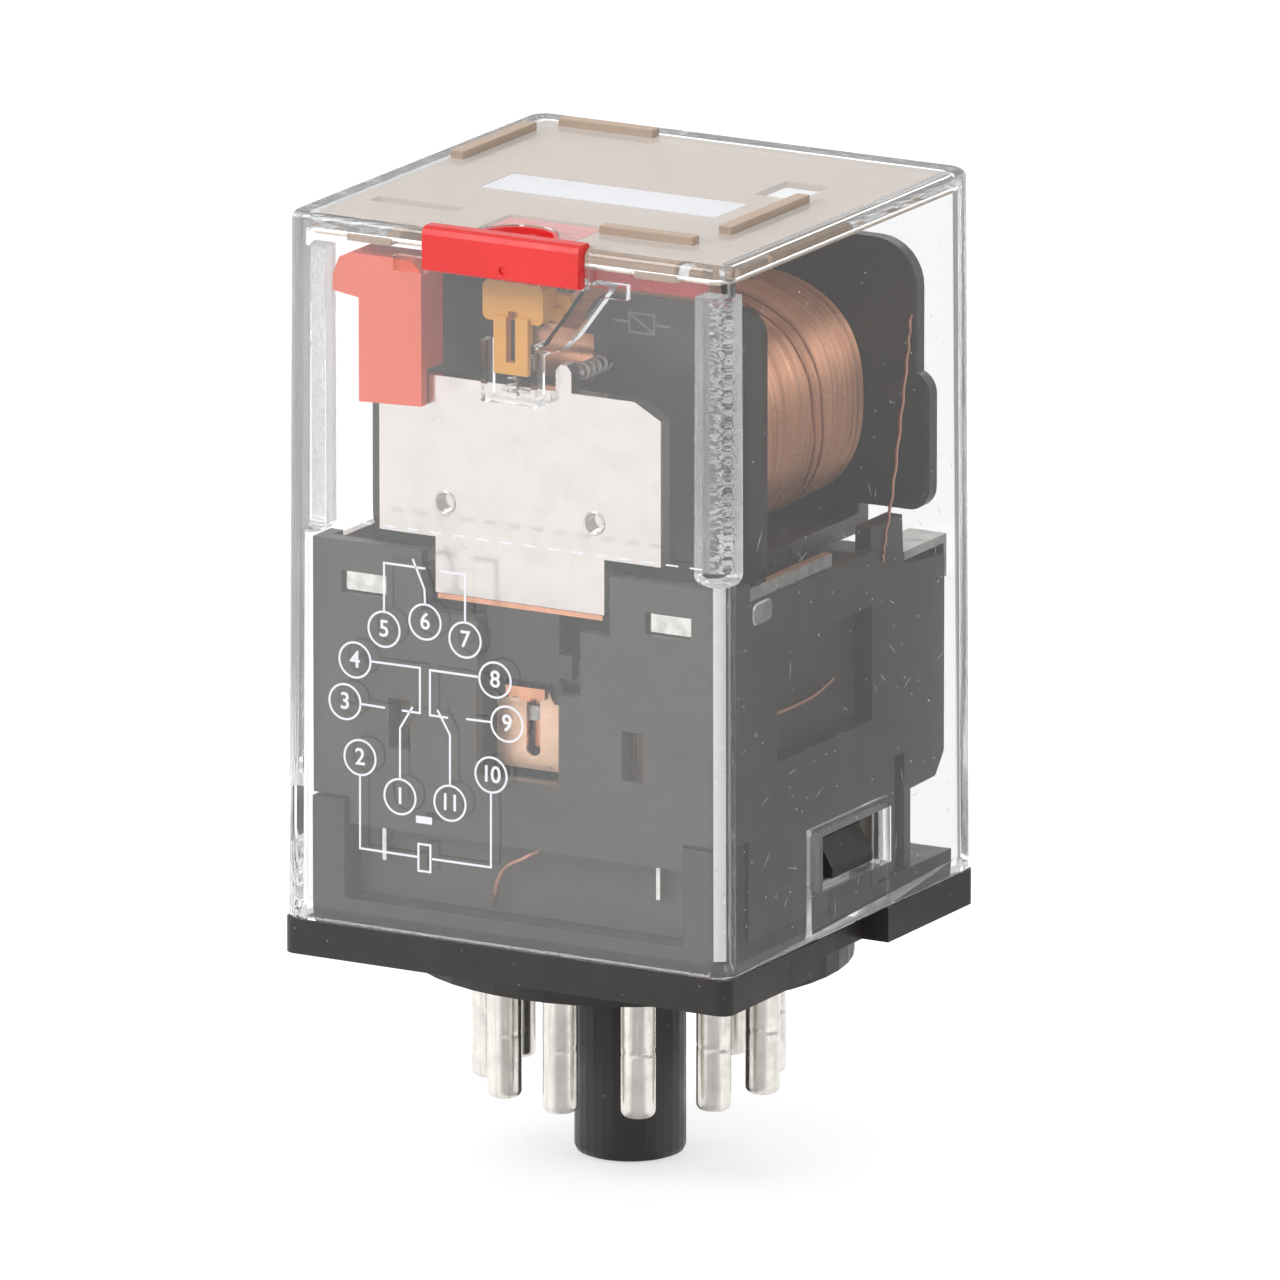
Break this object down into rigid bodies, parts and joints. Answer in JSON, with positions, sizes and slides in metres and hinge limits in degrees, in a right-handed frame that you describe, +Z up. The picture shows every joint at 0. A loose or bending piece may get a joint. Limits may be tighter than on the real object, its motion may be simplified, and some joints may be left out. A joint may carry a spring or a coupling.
{
  "type": "plug-in control relay",
  "caption": "Round-pin plug-in relay: dark base with pins and a key post, coil, armature and changeover contacts under a clear cover, with a red test lever.",
  "frame": {"origin": "key-post axis at the seating plane, which is the underside of the round boss", "axes": "+Z up along the key post towards the top of the cover, -Y towards the front with the test lever, +X to the right seen from the front"},
  "size_m": [0.0342, 0.0346, 0.0668],
  "materials": {
    "black_plastic": "fine-grained black moulding",
    "grey_plastic": "dark grey glass-filled moulding",
    "beige_plastic": "pale beige moulding",
    "red_plastic": "satin red moulding",
    "yellow_plastic": "amber moulding",
    "orange_plastic": "orange-red moulding",
    "white_card": "plain white label",
    "clear_plastic": "clear polycarbonate",
    "nickel": "satin nickel plate on steel",
    "tin": "tinned brass pins",
    "steel": "bare steel",
    "copper": "bright copper",
    "spring_copper": "pale copper alloy strip",
    "winding_copper": "enamelled copper wire",
    "silver": "silver-plated strip"
  },
  "bodies": {
    "relay_body": {"base": "black_plastic", "pin_01": "tin", "pin_02": "tin", "pin_03": "tin", "pin_04": "tin", "pin_05": "tin", "pin_06": "tin", "pin_07": "tin", "pin_08": "tin", "pin_09": "tin", "pin_10": "tin", "pin_11": "tin", "contact_block_front": "grey_plastic", "contact_block_rear": "grey_plastic", "bobbin": "black_plastic", "coil_winding": "winding_copper", "core": "steel", "shading_ring": "copper", "yoke": "nickel", "closed_contact_left": "copper", "open_contact_left": "copper", "closed_contact_centre": "copper", "open_contact_centre": "copper", "closed_contact_right": "copper", "open_contact_right": "copper", "armature_spring": "steel", "coil_lead_right": "copper", "common_lead_right": "copper", "front_terminal_right": "silver", "side_strip_right": "silver", "rear_terminal_right": "silver", "coil_terminal_right": "silver", "coil_lead_left": "copper", "common_lead_left": "copper", "front_terminal_left": "silver", "side_strip_left": "silver", "rear_terminal_left": "silver", "coil_terminal_left": "silver", "common_lead_centre": "copper", "cover": "clear_plastic", "top_plate": "beige_plastic", "name_label": "white_card", "button_spring": "steel"},
    "lever": {"test_lever": "red_plastic"},
    "button": {"test_button": "yellow_plastic"},
    "armature_group": {"armature": "nickel", "hinge_spring": "copper", "contact_carrier": "black_plastic", "indicator_flag": "orange_plastic"},
    "contact_left": {"contact_spring_left": "spring_copper", "moving_contact_left": "silver"},
    "contact_centre": {"contact_spring_centre": "spring_copper", "moving_contact_centre": "silver"},
    "contact_right": {"contact_spring_right": "spring_copper", "moving_contact_right": "silver"}
  },
  "joints": [
    {"name": "lever_slide", "type": "slide", "parent": "relay_body", "child": "lever", "axis": [0, -1, 0], "range_m": [0, 0.0028]},
    {"name": "button_press", "type": "slide", "parent": "relay_body", "child": "button", "axis": [0, 0, -1], "range_m": [0, 0.0012], "stiffness_N_per_m": 200, "springref_m": -0.0005, "deforming": ["button_spring"]},
    {"name": "armature_tilt", "type": "hinge", "parent": "relay_body", "child": "armature_group", "pos_m": [0, -0.0132, 0.0276], "axis": [-1, 0, 0], "range_deg": [0, 4], "stiffness_Nm_per_rad": 0.01, "springref_deg": -5.73, "deforming": ["armature_spring"]},
    {"name": "contact_left_swing", "type": "hinge", "parent": "relay_body", "child": "contact_left", "pos_m": [-0.0074, -0.0125, 0.0155], "axis": [1, 0, 0], "range_deg": [0, 5]},
    {"name": "contact_centre_swing", "type": "hinge", "parent": "relay_body", "child": "contact_centre", "pos_m": [0, -0.0125, 0.0155], "axis": [1, 0, 0], "range_deg": [0, 5]},
    {"name": "contact_right_swing", "type": "hinge", "parent": "relay_body", "child": "contact_right", "pos_m": [0.0074, -0.0125, 0.0155], "axis": [1, 0, 0], "range_deg": [0, 5]}
  ],
  "couplings": [
    {"joint": "contact_left_swing", "follows": "armature_tilt", "ratio": 1.2},
    {"joint": "contact_centre_swing", "follows": "armature_tilt", "ratio": 1.2},
    {"joint": "contact_right_swing", "follows": "armature_tilt", "ratio": 1.2}
  ]
}
